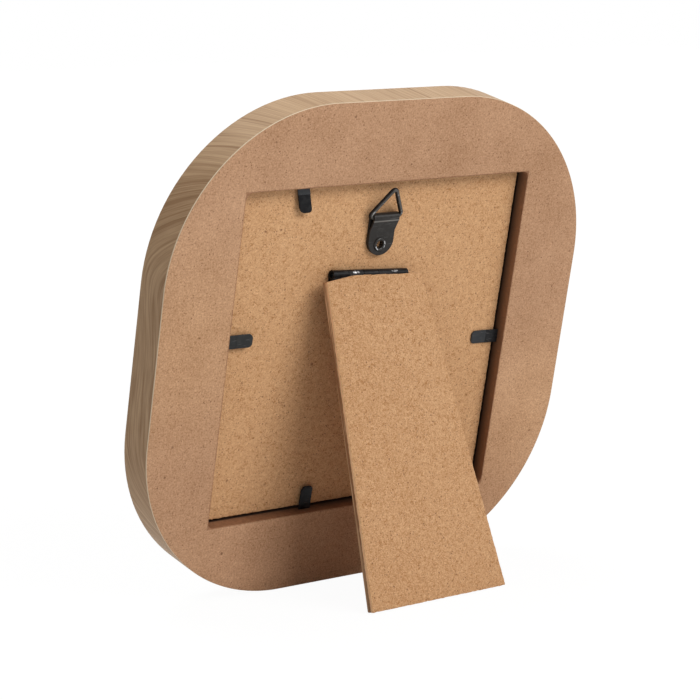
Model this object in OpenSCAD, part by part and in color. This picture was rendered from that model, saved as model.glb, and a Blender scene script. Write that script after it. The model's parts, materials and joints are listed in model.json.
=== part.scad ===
// Square easel picture frame with rounded corners, standing on its rear edge and an open strut.
// Right and left are as seen from behind, where -X is right. The display face looks along -Y.

/* [Frame] */
// Width of the frame's flat back from the recess to the outer edge
rim_w = 30.25; // [24:0.25:60]
// Thickness of the frame from its back face to its display face
frame_t = 16; // [14:0.25:30]
// Radius of the frame's four outer corners
corner_r = 66.3; // [20:0.1:80]
// Radius of the display face's rounded edges
arris_r = 1.2; // [0.8:0.1:3]
// Thickness of the oak foil pressed over the front and the sides
foil_t = 0.25; // [0.15:0.05:0.5]
// Bare band that the foil leaves at the back edge
foil_stop = 0.4; // [0.2:0.1:1]
// Angle by which the frame leans back
lean_deg = 12.09; // [5:0.01:20]

/* [Window and recess] */
// Width of the lip that laps over the edge of the glass
lap_w = 3.75; // [2:0.25:10]
// Corner radius of the display window
window_r = 3; // [2:0.5:10]
// Corner radius left by the cutter that mills the recess
recess_r = 2; // [1.5:0.1:4]
// Distance by which the recess stops short at its top, so its height is less than its width
recess_drop = 0.7; // [0:0.05:0.8]
// Depth of the backing board's back face below the frame's back
board_depth = 5; // [3.5:0.1:8]

/* [Glazing and backing] */
// Width and height of the glass, the insert and the board
pack_w = 127.5; // [100:0.5:152]
// Clearance round the glass, the insert and the board, on each side
pack_gap = 1; // [0.7:0.1:1.5]
// Thickness of the glass
glass_t = 2; // [1:0.5:3]
// Thickness of the card insert
insert_t = 0.5; // [0.2:0.1:1.5]
// Thickness of the hardboard backing
board_t = 2.5; // [2:0.1:4]

/* [Retaining tabs] */
// Width of each steel tab
tab_w = 5.2; // [4:0.1:8]
// Thickness of the tab steel
tab_t = 0.5; // [0.3:0.05:0.8]
// Length of the leaf that bends
tab_leaf_l = 6.8; // [5:0.1:10]
// Length driven into the recess wall
tab_drive_l = 8; // [5:0.5:12]
// Radius of the corners at the tab's tip
tab_tip_r = 1.7; // [0.5:0.1:1.9]
// Height of the tab's back face over the board where it leaves the wall
tab_rise = 1.6; // [1.2:0.1:2.5]
// Free length of the top tab's root
top_root_l = 3.4; // [1:0.1:6]
// Free length of the left tab's root
left_root_l = 5.3; // [1:0.1:6]
// Free length of the bottom tab's root
bottom_root_l = 2.6; // [1:0.1:6]
// Free length of the right tab's root
right_root_l = 5.4; // [1:0.1:6]
// Slope of the top tab's root away from the board
top_root_deg = 2; // [-5:0.5:15]
// Slope of the left tab's root away from the board
left_root_deg = 3; // [-5:0.5:8]
// Slope of the bottom tab's root away from the board
bottom_root_deg = 0; // [-5:0.5:15]
// Slope of the right tab's root away from the board
right_root_deg = -8; // [-8:0.5:8]
// Height of the top tab's tip above the board
top_tip_lift = 1.8; // [0.1:0.1:3]
// Height of the left tab's tip above the board
left_tip_lift = 1.7; // [0.1:0.1:3]
// Height of the bottom tab's tip above the board
bottom_tip_lift = 1.6; // [0.1:0.1:3]
// Height of the right tab's tip above the board
right_tip_lift = 0.1; // [0.1:0.1:3]
// Turn of the top tab in the board's plane
top_tab_turn_deg = 13; // [-5:0.5:15]
// Top tab's place left of the frame's middle
top_tab_left = 37.2; // [20:0.1:50]
// Left tab's place above the frame's middle
left_tab_up = 6.8; // [-20:0.1:20]
// Bottom tab's place left of the frame's middle
bottom_tab_left = 18.9; // [10:0.1:50]
// Right tab's place below the frame's middle
right_tab_down = 3.6; // [-20:0.1:20]

/* [Hanger] */
// Distance from the board's top edge down to the ring's bar
hanger_down = 14.15; // [13:0.05:18]
// Hanger's middle, right of the frame's middle
hanger_right = 0.6; // [-3:0.1:3]
// Distance from the ring's bar down to the eyelet
eyelet_drop = 10.6; // [9:0.1:12]
// Eyelet's middle, left of the hanger's middle
eyelet_left = 0.5; // [-1:0.1:1]
// Depth of the eyelet's tube in the board, which keeps its core inside the tube
eyelet_in = 1.9; // [1:0.1:2.3]
// Width of the hanger's folded strap
strap_w = 11.6; // [8:0.1:13]
// Length of the strap from the ring's bar to its round end
strap_l = 14.9; // [14:0.1:18]
// Thickness of the strap's sheet steel
strap_t = 0.8; // [0.4:0.05:0.8]
// Length over which the strap's upper layer comes down from the loop
strap_ramp_l = 5.5; // [3:0.1:6]
// Diameter of the ring's wire
wire_d = 1.7; // [1.2:0.1:2.2]
// Height of the ring's triangle, bar to apex, along the wire's middle
ring_h = 13.3; // [11:0.1:14]
// Bend radius at the ring's corners, to the wire's middle
ring_bend_r = 1.1; // [1:0.1:1.6]
// Angle by which the ring leans away from the board
ring_tilt = 19; // [5:0.5:25]
// Clearance of the ring's bar in the loop
loop_gap = 0.1; // [0.05:0.01:0.1]
// Outer diameter of the eyelet's rolled rim
eyelet_rim_d = 5.4; // [5:0.1:6]
// Diameter of the hole through the eyelet
eyelet_hole_d = 2.8; // [2:0.1:3]
// Wall thickness of the eyelet
eyelet_wall_t = 0.4; // [0.3:0.05:0.5]

/* [Hinge] */
// Distance from the board's top edge down to the hinge pin
hinge_down = 35.85; // [34:0.05:42]
// Hinge's middle, left of the frame's middle
hinge_left = 3.2; // [-5:0.1:5]
// Length of the hinge
hinge_l = 35; // [28:0.5:38]
// Outer diameter of the hinge's knuckles
knuckle_d = 3.5; // [3:0.1:4.5]
// Thickness of the hinge's sheet steel
leaf_t = 0.6; // [0.4:0.05:0.8]
// Length of each leaf below the pin
leaf_l = 14; // [11:0.5:18]
// Diameter of the hinge pin
pin_d = 2.2; // [1.6:0.1:2.2]
// Narrowing of the board's leaf at each side, from the knuckles to its end
leaf_taper = 2.6; // [0:0.1:3]
// Clearance of the pin in the knuckles
pin_gap = 0.05; // [0.03:0.01:0.1]
// Depth of the pin's ends inside the outer knuckles
pin_sink = 1.5; // [0.5:0.1:3]
// Angle by which the hinge sits askew, its left end higher
hinge_skew = 3.4; // [0:0.1:5]
// Angle between the open strut and the board
open_deg = 22.5; // [18:0.5:28]

/* [Strut] */
// Thickness of the strut's hardboard
strut_t = 3; // [2:0.1:4]
// Distance from the hinge pin down to the strut's top edge
strut_drop = 0.6; // [0.5:0.1:2]
// Strut's top edge, left of the hinge's middle
top_left = 23; // [19:0.1:26]
// Strut's top edge, right of the hinge's middle
top_right = 20.8; // [19:0.1:26]
// Strut's foot, left of the hinge's middle
foot_left = 12.1; // [5:0.1:25]
// Strut's foot, right of the hinge's middle
foot_right = 52.4; // [25:0.1:60]
// Width of the slanted clip at the strut's top left
clip_w = 13.5; // [5:0.1:16]
// Height of that clip
clip_h = 2.3; // [1:0.1:4]

/* [Rivets and nails] */
// Diameter of the rivets that hold the hinge to the board
rivet_d = 2.4; // [2:0.1:3]
// Diameter of their heads
rivet_head_d = 4.4; // [4:0.1:5]
// Height of their heads
rivet_head_h = 0.6; // [0.4:0.1:0.7]
// Distance of each rivet from the hinge's middle
rivet_off = 11; // [8:0.1:13]
// Diameter of the nails that hold the hinge to the strut
nail_d = 1.8; // [1.4:0.1:2.2]
// Diameter of their heads
nail_head_d = 3.6; // [3:0.1:4]
// Height of their heads
nail_head_h = 0.5; // [0.3:0.1:0.7]
// Depth of the nails in the strut
nail_in = 1.6; // [1:0.1:1.8]
// Distance of each nail from the hinge's middle
nail_off = 7; // [5:0.1:9]

/* [Hidden] */
$fn = 64;
overrun = 2;
slot_gap = 0.2;
crease_gap = 0.03;
hole_gap = 0.05;
knuckle_gap = 0.2;
barrel_lift = 0.1;
wire_side_gap = 0.45;
bend_swell = 0.02;
bend_lap = 0.1;
knuckle_count = 5;
rivet_place_share = 0.55;
nail_place_share = 0.6;

// Depths below the back face, and the board's height over the pocket's floor
pocket_d = board_depth + board_t + insert_t + glass_t;
recess_w = pack_w + 2 * pack_gap;
window_w = pack_w - 2 * lap_w;
frame_w = recess_w + 2 * rim_w;
hanger_up = pack_w / 2 - hanger_down;
hinge_up = pack_w / 2 - hinge_down;

// Hinge axis in the frame's own upright axes: Y out of the back, Z up from the rear bottom edge
knuckle_r = knuckle_d / 2;
hinge_y = knuckle_r + barrel_lift - board_depth;
hinge_z = frame_w / 2 + hinge_up;

// Height along the strut at which its inner face meets the ground, x left of the hinge's middle
function foot_z(x) =
    ((hinge_y + knuckle_r * cos(open_deg)) * sin(lean_deg)
     - (hinge_z + x * sin(hinge_skew) + knuckle_r * sin(open_deg) * cos(hinge_skew)) * cos(lean_deg))
    / (sin(open_deg) * sin(lean_deg) + cos(open_deg) * cos(hinge_skew) * cos(lean_deg));

// How far behind the rear bottom edge a point of the open strut reaches, level with the ground
function reach(x, y, z) =
    (hinge_y + y * cos(open_deg) - z * sin(open_deg)) * cos(lean_deg)
    + (hinge_z + x * sin(hinge_skew)
       + (y * sin(open_deg) + z * cos(open_deg)) * cos(hinge_skew)) * sin(lean_deg);

strut_out = knuckle_r + strut_t;
rear_reach = max(reach(foot_left, strut_out, foot_z(foot_left)),
                 reach(-foot_right, strut_out, foot_z(-foot_right)));
front_reach = (frame_t - arris_r) * cos(lean_deg) + arris_r - arris_r * sin(lean_deg);
centre_shift = (rear_reach - front_reach) / 2;

// One row for each tab: quarter turn from the top, place along its wall, root length,
// slope of the root away from the board, turn of the tab in the board's plane, its tip's height
// above the board, its wall's distance from the frame's middle
tab_rows = [[0, top_tab_left, top_root_l, top_root_deg, top_tab_turn_deg, top_tip_lift,
             recess_w / 2 - recess_drop],
            [1, -left_tab_up, left_root_l, left_root_deg, 0, left_tip_lift, recess_w / 2],
            [2, -bottom_tab_left, bottom_root_l, bottom_root_deg, 0, bottom_tip_lift, recess_w / 2],
            [3, -right_tab_down, right_root_l, right_root_deg, 0, right_tip_lift, recess_w / 2]];
function crease_rise(tab) = tab_rise + tab[2] * tan(tab[3]);

loop_r = wire_d / 2 + loop_gap + strap_t;
eyelet_tube_d = eyelet_hole_d + 2 * eyelet_wall_t;
knuckle_l = hinge_l / knuckle_count;
rivet_z = -leaf_l * rivet_place_share;
nail_z = -leaf_l * nail_place_share;

// Stands the upright frame on its rear bottom edge, leaning back, centred on the origin
module lean()
    translate([0, -centre_shift, 0])
    rotate([-lean_deg, 0, 0])
    children();

// Sheet axes: X left, Y up from the frame's middle, Z from the back face towards the display
module sheet(depth)
    translate([0, 0, frame_w / 2])
    rotate([90, 0, 0])
    translate([0, 0, depth])
    children();

// Axes on the board's back: X right, Y up, Z out of the back
module on_board(up)
    sheet(board_depth)
    translate([-hanger_right, up, 0])
    rotate([0, 180, 0])
    children();

module at_eyelet()
    on_board(hanger_up - eyelet_drop)
    translate([-eyelet_left, 0, 0])
    children();

// Hinge axes: X left along the pin, Y out of the back, Z up
module at_hinge()
    translate([hinge_left, hinge_y, hinge_z])
    rotate([0, -hinge_skew, 0])
    children();

module at_strut()
    at_hinge()
    rotate([open_deg, 0, 0])
    children();

// Tab axes with the crease at the origin: X along it, Y towards the tip, Z out of the back
module at_tab(tab)
    sheet(board_depth)
    rotate([0, 0, -90 * tab[0]])
    translate([tab[1], tab[6] - tab[2], 0])
    rotate([180, 0, 0])
    translate([0, 0, crease_rise(tab)])
    children();

module rounded_oblong(w, h, r) {
    square([w, h - 2 * r], center = true);
    square([w - 2 * r, h], center = true);
    for (x = [-1, 1], y = [-1, 1])
        translate([x * (w / 2 - r), y * (h / 2 - r)])
            circle(r);
}

module rounded_square(w, r)
    rounded_oblong(w, w, r);

// Carries a profile round a square, with a quarter turn at each corner
module carried(core) {
    for (quarter = [0:3])
        rotate([0, 0, 90 * quarter])
        translate([core / 2, 0, 0]) {
            rotate([90, 0, 0])
                linear_extrude(core, center = true)
                children();
            translate([0, core / 2, 0])
                rotate_extrude(angle = 90)
                children();
        }
}

module slab(w, r, t, arris) {
    linear_extrude(t)
        square(w - 2 * r, center = true);
    carried(w - 2 * r) {
        union() {
            square([r, t - arris]);
            square([r - arris, t]);
            translate([r - arris, t - arris])
                circle(arris);
        }
    }
}

module opening(w, r, t, arris) {
    translate([0, 0, -overrun])
        linear_extrude(t + 2 * overrun)
        square(w - 2 * r, center = true);
    carried(w - 2 * r) {
        union() {
            translate([0, -overrun])
                square([r, t + 2 * overrun]);
            difference() {
                translate([0, t - arris])
                    square([r + arris, arris + overrun]);
                translate([r + arris, t - arris])
                    circle(arris);
            }
        }
    }
}

module pocket()
    translate([0, -recess_drop / 2, -overrun])
    linear_extrude(pocket_d + overrun)
    rounded_oblong(recess_w, recess_w - recess_drop, recess_r);

module milled_ring() {
    difference() {
        slab(frame_w - 2 * foil_t, corner_r - foil_t, frame_t - foil_t, arris_r - foil_t);
        opening(window_w + 2 * foil_t, window_r + foil_t, frame_t - foil_t, arris_r - foil_t);
    }
}

module frame_body() color([0.76, 0.60, 0.47]) lean() {
    difference() {
        sheet(0) {
            difference() {
                union() {
                    milled_ring();
                    linear_extrude(foil_stop)
                        difference() {
                            rounded_square(frame_w, corner_r);
                            rounded_square(window_w + 2 * foil_t, window_r + foil_t);
                        }
                }
                pocket();
            }
        }
        for (tab = tab_rows)
            tab_slot(tab);
    }
}

module oak_foil() color([0.66, 0.53, 0.38]) lean() sheet(0) {
    difference() {
        slab(frame_w, corner_r, frame_t, arris_r);
        translate([0, 0, -overrun])
            linear_extrude(foil_stop + overrun)
            square(frame_w + overrun, center = true);
        milled_ring();
        opening(window_w, window_r, frame_t, arris_r);
        pocket();
    }
}

module glass_pane() color([0.82, 0.90, 0.88, 0.4]) lean()
    sheet(board_depth + board_t + insert_t)
    linear_extrude(glass_t)
    square(pack_w, center = true);

module photo_insert() color([0.93, 0.92, 0.89]) lean()
    sheet(board_depth + board_t)
    linear_extrude(insert_t)
    square(pack_w, center = true);

module backing_board() color([0.78, 0.60, 0.40]) lean() {
    difference() {
        sheet(board_depth)
            linear_extrude(board_t)
            square(pack_w, center = true);
        at_eyelet()
            eyelet_groove();
        at_hinge()
            for (side = [-1, 1])
                translate([side * rivet_off, -knuckle_r - barrel_lift, rivet_z])
                rotate([90, 0, 0]) {
                    translate([0, 0, -overrun])
                        cylinder(h = board_t + 2 * overrun, d = rivet_d + 2 * hole_gap);
                    translate([0, 0, board_t - rivet_head_h])
                        cylinder(h = rivet_head_h + overrun, d = rivet_head_d + 2 * hole_gap);
                }
    }
}

// Ring groove that the eyelet's tube presses into the board
module eyelet_groove() {
    floor_z = -eyelet_in - hole_gap;
    difference() {
        translate([0, 0, floor_z])
            cylinder(h = overrun - floor_z, d = eyelet_tube_d + 2 * hole_gap);
        translate([0, 0, floor_z - overrun])
            cylinder(h = 3 * overrun - floor_z, d = eyelet_hole_d - 2 * hole_gap);
    }
}

// Side view of a tab's root: flat in the wall, then sloping to the crease
module root_profile(tab) {
    wall_y = -tab[2];
    wall_z = -tab[2] * tan(tab[3]);
    end_y = wall_y - tab_drive_l - tab_w;
    polygon([[end_y, wall_z], [wall_y, wall_z], [-crease_gap, 0], [-crease_gap, -tab_t],
             [wall_y, wall_z - tab_t], [end_y, wall_z - tab_t]]);
}

module tab_slot(tab) {
    wall_z = -tab[2] * tan(tab[3]);
    at_tab(tab)
        translate([0, -tab[2], wall_z - tab_t - slot_gap])
        linear_extrude(tab_t + 2 * slot_gap)
        translate([tab[2] * tan(tab[4]), 0])
        rotate([0, 0, tab[4]])
        translate([-tab_w / 2 - slot_gap, -tab_drive_l - slot_gap])
        square([tab_w + 2 * slot_gap, tab_drive_l + 2 * overrun]);
}

module tab_roots() color([0.14, 0.14, 0.15]) lean() {
    for (tab = tab_rows)
        at_tab(tab)
            intersection() {
                rotate([90, 0, 90])
                    linear_extrude(4 * tab_w, center = true)
                    root_profile(tab);
                translate([0, 0, -tab_leaf_l])
                    linear_extrude(2 * tab_leaf_l)
                    rotate([0, 0, tab[4]])
                    translate([-tab_w / 2, -tab[2] / cos(tab[4]) - tab_drive_l])
                    square([tab_w, tab[2] / cos(tab[4]) + tab_drive_l + overrun]);
            }
}

module tab_leaf(tab) {
    tip_z = tab_t + tab[5] - crease_rise(tab);
    color([0.10, 0.10, 0.11]) lean() at_tab(tab) {
        intersection() {
            rotate([90, 0, 90])
                linear_extrude(4 * tab_w, center = true)
                polygon([[0, 0], [tab_leaf_l, tip_z], [tab_leaf_l, tip_z - tab_t], [0, -tab_t]]);
            translate([0, 0, -tab_leaf_l])
                linear_extrude(2 * tab_leaf_l)
                tongue(tab_w, tab_leaf_l, tab_tip_r, tab[4]);
        }
    }
}

// Outline of a strip that leans by a turn, between two level ends, with the far corners rounded
module tongue(w, l, r, turn) {
    side_x = w / (2 * cos(turn));
    centre_x = side_x - r / cos(turn);
    lean_x = (l - r) * tan(turn);
    out = [r * cos(turn), r * sin(turn)];
    right = [centre_x - lean_x, l - r];
    left = [-centre_x - lean_x, l - r];
    polygon([[-side_x, 0], [side_x, 0], right + out, right, [right[0], l], [left[0], l], left,
             left - out]);
    for (centre = [right, left])
        translate(centre)
            circle(r);
}

module tab_top() tab_leaf(tab_rows[0]);
module tab_left() tab_leaf(tab_rows[1]);
module tab_bottom() tab_leaf(tab_rows[2]);
module tab_right() tab_leaf(tab_rows[3]);

// Side view of the folded strap, its loop round the ring's bar at the origin
module strap_profile() {
    end_y = -strap_l;
    flat_y = -strap_ramp_l;
    low_z = -loop_r;
    difference() {
        circle(loop_r);
        circle(loop_r - strap_t);
        translate([-loop_r - overrun, -loop_r - overrun])
            square([loop_r + overrun, 2 * (loop_r + overrun)]);
    }
    translate([end_y, low_z])
        square([-end_y, strap_t]);
    polygon([[0, loop_r], [-strap_t, loop_r], [flat_y, low_z + 2 * strap_t], [end_y, low_z + 2 * strap_t],
             [end_y, low_z + strap_t], [flat_y, low_z + strap_t], [-strap_t, loop_r - strap_t],
             [0, loop_r - strap_t]]);
}

module hanger_plate() color([0.20, 0.21, 0.21]) lean() on_board(hanger_up) {
    difference() {
        intersection() {
            translate([0, 0, loop_r])
                rotate([90, 0, 90])
                linear_extrude(strap_w, center = true)
                strap_profile();
            linear_extrude(2 * loop_r + overrun)
                union() {
                    translate([-strap_w / 2, strap_w / 2 - strap_l])
                        square([strap_w, strap_l - strap_w / 2 + loop_r + overrun]);
                    translate([0, strap_w / 2 - strap_l])
                        circle(strap_w / 2);
                }
        }
        translate([-eyelet_left, -eyelet_drop, -overrun])
            cylinder(h = 2 * strap_t + 2 * overrun, d = eyelet_tube_d + 2 * hole_gap);
    }
}

module hanger_eyelet() color([0.42, 0.42, 0.43]) lean() at_eyelet() {
    roll_r = (eyelet_rim_d - eyelet_hole_d) / 4;
    difference() {
        union() {
            translate([0, 0, -eyelet_in])
                cylinder(h = eyelet_in + 2 * strap_t, d = eyelet_tube_d);
            translate([0, 0, 2 * strap_t])
                rotate_extrude()
                intersection() {
                    translate([eyelet_rim_d / 2 - roll_r, 0])
                        circle(roll_r);
                    square([eyelet_rim_d, roll_r + overrun]);
                }
        }
        translate([0, 0, -eyelet_in - overrun])
            cylinder(h = eyelet_in + 2 * strap_t + 2 * overrun, d = eyelet_hole_d);
    }
}

// Ring: three straight wires round a triangle, in the plane of X and Y, with three bends
// that are a hair thicker and that the straights run into
function heading(v) = atan2(v[1], v[0]);
function turned(a) = (a + 360) % 360;
bar_turn = 180 - atan2(ring_h, strap_w / 2);
base_cut = ring_bend_r * tan(bar_turn / 2);
ring_half_w = strap_w / 2 + wire_side_gap + base_cut;
ring_points = [[-ring_half_w, 0], [ring_half_w, 0], [0, ring_h]];

function ring_step(i) = ring_points[(i + 1) % 3] - ring_points[i % 3];
function ring_turn(i) = turned(heading(ring_step(i)) - heading(ring_step(i + 2)));
function ring_cut(i) = ring_bend_r * tan(ring_turn(i) / 2);

module ring_side(i) {
    step = ring_step(i);
    side_l = norm(step);
    translate([ring_points[i][0], ring_points[i][1], 0])
    rotate([0, 0, heading(step)]) {
        translate([ring_cut(i) - bend_lap, 0, 0])
            rotate([0, 90, 0])
            cylinder(h = side_l - ring_cut(i) - ring_cut((i + 1) % 3) + 2 * bend_lap,
                     d = wire_d - 2 * bend_swell);
        translate([side_l - ring_cut((i + 1) % 3), ring_bend_r, 0])
            rotate([0, 0, -90])
            rotate_extrude(angle = ring_turn((i + 1) % 3))
            translate([ring_bend_r, 0])
            circle(d = wire_d);
    }
}

module hanger_ring() color([0.24, 0.25, 0.26]) lean() on_board(hanger_up)
    translate([0, 0, loop_r])
    rotate([ring_tilt, 0, 0]) {
        for (i = [0:2])
            ring_side(i);
    }

// Knuckles of one leaf, every second one from the given place, widened by a margin
module knuckles(first, margin) {
    for (i = [first:2:knuckle_count - 1])
        translate([-hinge_l / 2 + i * knuckle_l + knuckle_gap / 2 - margin, 0, 0])
            rotate([0, 90, 0])
            cylinder(h = knuckle_l - knuckle_gap + 2 * margin, r = knuckle_r + margin);
}

module pin_bore()
    rotate([0, 90, 0])
    cylinder(h = hinge_l + 2 * overrun, d = pin_d + 2 * pin_gap, center = true);

module hinge_board_leaf() color([0.12, 0.12, 0.13]) lean() at_hinge() {
    difference() {
        union() {
            difference() {
                translate([0, leaf_t - knuckle_r - barrel_lift, 0])
                    rotate([90, 0, 0])
                    linear_extrude(leaf_t)
                    polygon([[-hinge_l / 2, 0], [leaf_taper - hinge_l / 2, -leaf_l],
                             [hinge_l / 2 - leaf_taper, -leaf_l], [hinge_l / 2, 0]]);
                knuckles(1, knuckle_gap);
            }
            knuckles(0, 0);
        }
        pin_bore();
        for (side = [-1, 1])
            translate([side * rivet_off, 0, rivet_z])
                rotate([90, 0, 0])
                cylinder(h = knuckle_d, d = rivet_d + 2 * hole_gap);
    }
}

module hinge_pin() color([0.45, 0.45, 0.46]) lean() at_hinge()
    rotate([0, 90, 0])
    cylinder(h = hinge_l - 2 * pin_sink, d = pin_d, center = true);

module hinge_board_rivets() color([0.55, 0.55, 0.55]) lean() at_hinge() {
    for (side = [-1, 1])
        translate([side * rivet_off, -knuckle_r - barrel_lift, rivet_z])
        rotate([90, 0, 0]) {
            translate([0, 0, -leaf_t])
                cylinder(h = board_t + leaf_t, d = rivet_d);
            translate([0, 0, -leaf_t - rivet_head_h])
                cylinder(h = rivet_head_h, d = rivet_head_d);
            translate([0, 0, board_t - rivet_head_h])
                cylinder(h = rivet_head_h, d = rivet_head_d);
        }
}

module hinge_strut_leaf() color([0.12, 0.12, 0.13]) lean() at_strut() {
    difference() {
        union() {
            difference() {
                translate([-hinge_l / 2 + knuckle_l / 2, knuckle_r - leaf_t, -leaf_l])
                    cube([hinge_l - knuckle_l, leaf_t, leaf_l]);
                knuckles(0, knuckle_gap);
            }
            knuckles(1, 0);
        }
        pin_bore();
        for (side = [-1, 1])
            translate([side * nail_off, knuckle_r + overrun, nail_z])
                rotate([90, 0, 0])
                cylinder(h = leaf_t + 2 * overrun, d = nail_d + 2 * hole_gap);
    }
}

module strut_nails() color([0.55, 0.55, 0.55]) lean() at_strut() {
    for (side = [-1, 1])
        translate([side * nail_off, knuckle_r - leaf_t - nail_head_h, nail_z])
        rotate([-90, 0, 0]) {
            cylinder(h = nail_head_h, d = nail_head_d);
            cylinder(h = nail_head_h + leaf_t + nail_in, d = nail_d);
        }
}

module strut() color([0.77, 0.58, 0.37]) lean() at_strut() {
    difference() {
        translate([0, strut_out, 0])
            rotate([90, 0, 0])
            linear_extrude(strut_t)
            polygon([[-top_right, -strut_drop], [top_left - clip_w, -strut_drop],
                     [top_left, -strut_drop - clip_h], [foot_left, foot_z(foot_left)],
                     [-foot_right, foot_z(-foot_right)]]);
        for (side = [-1, 1])
            translate([side * nail_off, knuckle_r - overrun, nail_z])
                rotate([-90, 0, 0])
                cylinder(h = nail_in + hole_gap + overrun, d = nail_d + 2 * hole_gap);
    }
}

frame_body();
oak_foil();
glass_pane();
photo_insert();
backing_board();
tab_roots();
tab_top();
tab_left();
tab_bottom();
tab_right();
hanger_plate();
hanger_eyelet();
hanger_ring();
hinge_board_leaf();
hinge_pin();
hinge_board_rivets();
hinge_strut_leaf();
strut_nails();
strut();
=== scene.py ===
import json
import math
import bpy
import bmesh
import numpy as np
from mathutils import Matrix, Vector


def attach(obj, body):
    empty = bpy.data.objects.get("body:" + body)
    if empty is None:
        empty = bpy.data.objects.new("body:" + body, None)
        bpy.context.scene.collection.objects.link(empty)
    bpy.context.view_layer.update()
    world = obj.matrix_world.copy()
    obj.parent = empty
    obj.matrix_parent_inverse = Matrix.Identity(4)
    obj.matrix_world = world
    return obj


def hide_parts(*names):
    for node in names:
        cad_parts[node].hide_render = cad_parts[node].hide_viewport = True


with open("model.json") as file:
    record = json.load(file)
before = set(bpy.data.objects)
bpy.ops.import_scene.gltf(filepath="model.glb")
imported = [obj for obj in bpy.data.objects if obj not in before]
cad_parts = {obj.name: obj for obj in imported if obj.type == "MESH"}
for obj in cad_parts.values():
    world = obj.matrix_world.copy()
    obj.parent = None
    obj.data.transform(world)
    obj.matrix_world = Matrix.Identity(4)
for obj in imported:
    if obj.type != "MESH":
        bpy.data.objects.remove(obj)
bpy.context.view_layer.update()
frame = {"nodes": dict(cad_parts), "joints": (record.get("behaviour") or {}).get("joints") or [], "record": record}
nodes = frame["nodes"]
joints = {joint["name"]: joint for joint in frame["joints"]}
mm = 0.001
print("frame loaded,", len(nodes), "nodes")

# The leaning frame's own axes: x left as seen from behind, y out of the back, z up the back face.
# They are read from the back face that the record states.
backFace = next(m for m in frame["record"]["mounts"] if m["name"] == "back_face")
lean = math.atan2(-backFace["axis"][2], backFace["axis"][1])
shift = backFace["pos_m"][2] * math.tan(lean) - backFace["pos_m"][1]
uprightTurn = np.array(Matrix.Rotation(-lean, 3, "X"))
uprightStart = np.array([0.0, -shift, 0.0])
middleUp = 95 * mm  # from the frame's bottom edge to its middle


# Points in a piece's own axes, turned and moved to where the piece stands
def toRow(points, turn=uprightTurn, start=uprightStart):
    return np.asarray(points) @ turn.T + start


def unit(vector):
    vector = np.asarray(vector, float)
    return vector / np.linalg.norm(vector)


outward = toRow((0, 1, 0), start=np.zeros(3))  # straight out of the back face


def newObject(name, data):
    made = bpy.data.objects.new(name, data)
    bpy.context.scene.collection.objects.link(made)
    return made


camera = {"place": (0.5579, 0.7373, 0.2489), "heading": 143.279, "tilt": -9.681, "lens": 128.96,
          "sensor": 36}


def makeCamera():
    data = bpy.data.cameras.new("camera")
    data.lens = camera["lens"]
    data.sensor_width = camera["sensor"]
    made = newObject("camera", data)
    made.location = camera["place"]
    made.rotation_euler = (math.radians(90 + camera["tilt"]), 0, math.radians(camera["heading"]))
    bpy.context.scene.camera = made


makeCamera()
print("camera placed")


# Shader helpers. A value is a socket, which is linked, or a number or colour, which is set.
def link(tree, socket, value):
    if isinstance(value, bpy.types.NodeSocket):
        tree.links.new(value, socket)
    elif value is not None:
        socket.default_value = (*value, 1.0) if socket.type == "RGBA" and len(value) == 3 else value


def node(tree, kind, inputs=None, **settings):
    made = tree.nodes.new("ShaderNode" + kind)
    for key, value in settings.items():
        setattr(made, key, value)
    for key, value in (inputs or {}).items():
        link(tree, made.inputs[key], value)
    return made


def calc(tree, operation, a, b=None, c=None, clamp=False):
    return node(tree, "Math", {0: a, 1: b, 2: c}, operation=operation, use_clamp=clamp).outputs[0]


def times(tree, a, b):
    return calc(tree, "MULTIPLY", a, b)


def timesPlus(tree, a, b, c, clamp=False):
    return calc(tree, "MULTIPLY_ADD", a, b, c, clamp)


def less(tree, a, b):
    return calc(tree, "SUBTRACT", a, b)


def larger(tree, a, b):
    return calc(tree, "MAXIMUM", a, b)


# base plus so much of how far the value is from a half
def sway(tree, value, amount, base):
    return timesPlus(tree, less(tree, value, 0.5), amount, base)


def mix(tree, factor, a, b, blend="MIX"):
    return node(tree, "Mix", {0: factor, 6: a, 7: b}, data_type="RGBA", blend_type=blend).outputs[2]


# smooth step from 0 at low to 1 at high
def rise(tree, value, low, high):
    return node(tree, "MapRange", {"Value": value, "From Min": low, "From Max": high},
                interpolation_type="SMOOTHSTEP").outputs[0]


# smooth step from 1 at low to 0 at high
def fall(tree, value, low, high):
    return less(tree, 1.0, rise(tree, value, low, high))


# The scale is in cells per metre
def noise(tree, vector, scale, detail=2.0, roughness=0.5, distortion=0.0):
    return node(tree, "TexNoise", {"Vector": vector, "Scale": scale, "Detail": detail,
                                   "Roughness": roughness, "Distortion": distortion}).outputs[0]


def vectorMath(tree, operation, a, b=None, output="Vector"):
    return node(tree, "VectorMath", {0: a, 1: b}, operation=operation).outputs[output]


def stretched(tree, vector, scale):
    return vectorMath(tree, "MULTIPLY", vector, scale)


def distance(tree, vector, middle):
    return vectorMath(tree, "LENGTH", vectorMath(tree, "SUBTRACT", vector, middle), output="Value")


def threeAxes(tree, vector):
    return node(tree, "SeparateXYZ", {0: vector}).outputs


def joined(tree, x, y, z):
    return node(tree, "CombineXYZ", {0: x, 1: y, 2: z}).outputs[0]


def newGroup(name, inputs, outputs):
    tree = bpy.data.node_groups.new(name, "ShaderNodeTree")
    for way, sockets in (("INPUT", inputs), ("OUTPUT", outputs)):
        for socketName, kind in sockets.items():
            tree.interface.new_socket(socketName, in_out=way, socket_type="NodeSocket" + kind)
    return tree, tree.nodes.new("NodeGroupInput").outputs, tree.nodes.new("NodeGroupOutput").inputs


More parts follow.
